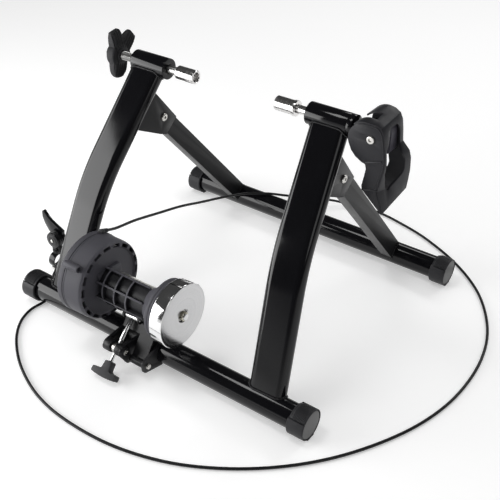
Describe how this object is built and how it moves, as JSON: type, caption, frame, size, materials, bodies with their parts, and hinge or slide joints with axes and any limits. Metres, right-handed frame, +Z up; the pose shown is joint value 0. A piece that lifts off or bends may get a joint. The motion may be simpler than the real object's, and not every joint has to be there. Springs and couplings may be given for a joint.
{
  "type": "bike trainer",
  "caption": "Folding indoor bike trainer with axle clamps on uprights, a magnetic roller unit, a flywheel and a cabled shifter.",
  "frame": {"origin": "on the floor under the middle of the trainer, without its cable and shifter", "axes": "+X along the crossbars toward the cam lever, +Y from the main crossbar toward the folding one, +Z up"},
  "size_m": [0.7308, 0.7347, 0.4055],
  "materials": {
    "black_paint": "gloss black paint",
    "satin_black": "satin black paint",
    "cap_plastic": "matt black plastic",
    "housing_plastic": "dark grey moulded plastic",
    "lever_plastic": "dark grey satin plastic",
    "chrome": "mirror",
    "bright_steel": "bright steel",
    "zinc": "grey zinc plating",
    "light_zinc": "light die casting",
    "aluminium": "machined aluminium",
    "magnet_grey": "sintered magnet"
  },
  "bodies": {
    "frame": {"main_crossbar": "black_paint", "main_left_foot": "cap_plastic", "main_right_foot": "cap_plastic", "left_upright": "black_paint", "right_upright": "black_paint", "left_clamp_barrel": "black_paint", "right_clamp_barrel": "black_paint", "left_hinge_bracket": "satin_black", "right_hinge_bracket": "satin_black", "left_hinge_bolt": "bright_steel", "right_hinge_bolt": "bright_steel", "left_hinge_nut": "bright_steel", "right_hinge_nut": "bright_steel", "unit_bracket": "satin_black", "left_thread_bush": "zinc", "right_guide_bush": "zinc", "pivot_block": "light_zinc", "clamp_spring": "bright_steel", "pivot_pin": "bright_steel", "cable": "cap_plastic", "shifter_body": "cap_plastic", "shifter_clamp": "cap_plastic", "shifter_clamp_screw": "bright_steel"},
    "rear_frame": {"left_rear_arm": "satin_black", "right_rear_arm": "satin_black", "rear_crossbar": "black_paint", "rear_left_foot": "cap_plastic", "rear_right_foot": "cap_plastic"},
    "left_cup": {"left_axle_cup": "chrome"},
    "left_screw": {"left_screw": "zinc", "left_wing_knob": "cap_plastic"},
    "right_rod": {"right_rod": "chrome", "right_axle_cup": "chrome"},
    "cam_lever": {"cam_lever": "lever_plastic", "cam_lobe": "light_zinc", "cam_pin": "chrome"},
    "unit": {"housing_back_shell": "housing_plastic", "housing_front_shell": "housing_plastic", "yoke": "housing_plastic", "left_yoke_screw": "bright_steel", "right_yoke_screw": "bright_steel", "swing_bracket": "satin_black", "left_bearing": "bright_steel", "right_bearing": "bright_steel", "fixed_magnet_ring": "magnet_grey", "cable_gland": "cap_plastic"},
    "spindle": {"roller": "bright_steel", "roller_shaft": "chrome", "flywheel": "chrome", "flywheel_washer": "zinc", "flywheel_nut": "zinc", "rotor_disc": "aluminium"},
    "magnet_swing": {"swing_magnet_ring": "magnet_grey"},
    "trunnion": {"trunnion": "bright_steel"},
    "cross_pin": {"cross_pin": "chrome"},
    "tension_screw": {"tension_rod": "chrome", "tension_knob": "cap_plastic"},
    "shifter_lever": {"shifter_lever": "cap_plastic"}
  },
  "joints": [
    {"name": "rear_fold", "type": "hinge", "parent": "frame", "child": "rear_frame", "pos_m": [0, 0.03099, 0.27404], "axis": [-1, 0, 0], "range_deg": [0, 67]},
    {"name": "left_clamp_slide", "type": "slide", "parent": "frame", "child": "left_cup", "axis": [1, 0, 0], "range_m": [-0.0181, 0.0181]},
    {"name": "left_screw_turn", "type": "hinge", "parent": "left_cup", "child": "left_screw", "pos_m": [-0.157, 0.01858, 0.3657], "axis": [1, 0, 0], "range_deg": [-3240, 3240]},
    {"name": "cam_lever_swing", "type": "hinge", "parent": "frame", "child": "cam_lever", "pos_m": [0.231, 0.01858, 0.3657], "axis": [0, -1, 0], "range_deg": [0, 58]},
    {"name": "right_rod_slide", "type": "slide", "parent": "frame", "child": "right_rod", "axis": [1, 0, 0], "range_m": [0, 0.0068], "deforming": ["clamp_spring"]},
    {"name": "unit_tilt", "type": "hinge", "parent": "frame", "child": "unit", "pos_m": [0, -0.22202, 0.022], "axis": [1, 0, 0], "range_deg": [-7, 2], "deforming": ["cable"]},
    {"name": "spindle_spin", "type": "hinge", "parent": "unit", "child": "spindle", "pos_m": [0, -0.18602, 0.113], "axis": [1, 0, 0], "continuous": true},
    {"name": "magnet_turn", "type": "hinge", "parent": "unit", "child": "magnet_swing", "pos_m": [0, -0.18602, 0.113], "axis": [1, 0, 0], "range_deg": [0, 40]},
    {"name": "trunnion_swing", "type": "hinge", "parent": "frame", "child": "trunnion", "pos_m": [-0.034, -0.23152, 0.0385], "axis": [1, 0, 0], "range_deg": [-7.6, 2.3]},
    {"name": "tension_slide", "type": "slide", "parent": "trunnion", "child": "cross_pin", "axis": [0, 0.7311, 0.6823], "range_m": [-0.0008, 0.0024]},
    {"name": "tension_knob_turn", "type": "hinge", "parent": "cross_pin", "child": "tension_screw", "pos_m": [-0.034, -0.19402, 0.0735], "axis": [0, 0.7311, 0.6823], "range_deg": [-240, 830]},
    {"name": "shifter_lever_turn", "type": "hinge", "parent": "frame", "child": "shifter_lever", "pos_m": [-0.295, -0.10502, 0.058], "axis": [0, 1, 0], "range_deg": [0, 121]}
  ],
  "couplings": [
    {"joint": "left_clamp_slide", "follows": "left_screw_turn", "m_per_rad": 0.0003183},
    {"joint": "right_rod_slide", "follows": "cam_lever_swing", "m_per_rad": 0.0066845},
    {"joint": "trunnion_swing", "follows": "unit_tilt", "ratio": 1.066},
    {"joint": "tension_slide", "follows": "unit_tilt", "m_per_rad": -0.0187},
    {"joint": "tension_knob_turn", "follows": "unit_tilt", "ratio": -117.5},
    {"joint": "shifter_lever_turn", "follows": "magnet_turn", "ratio": 3}
  ]
}
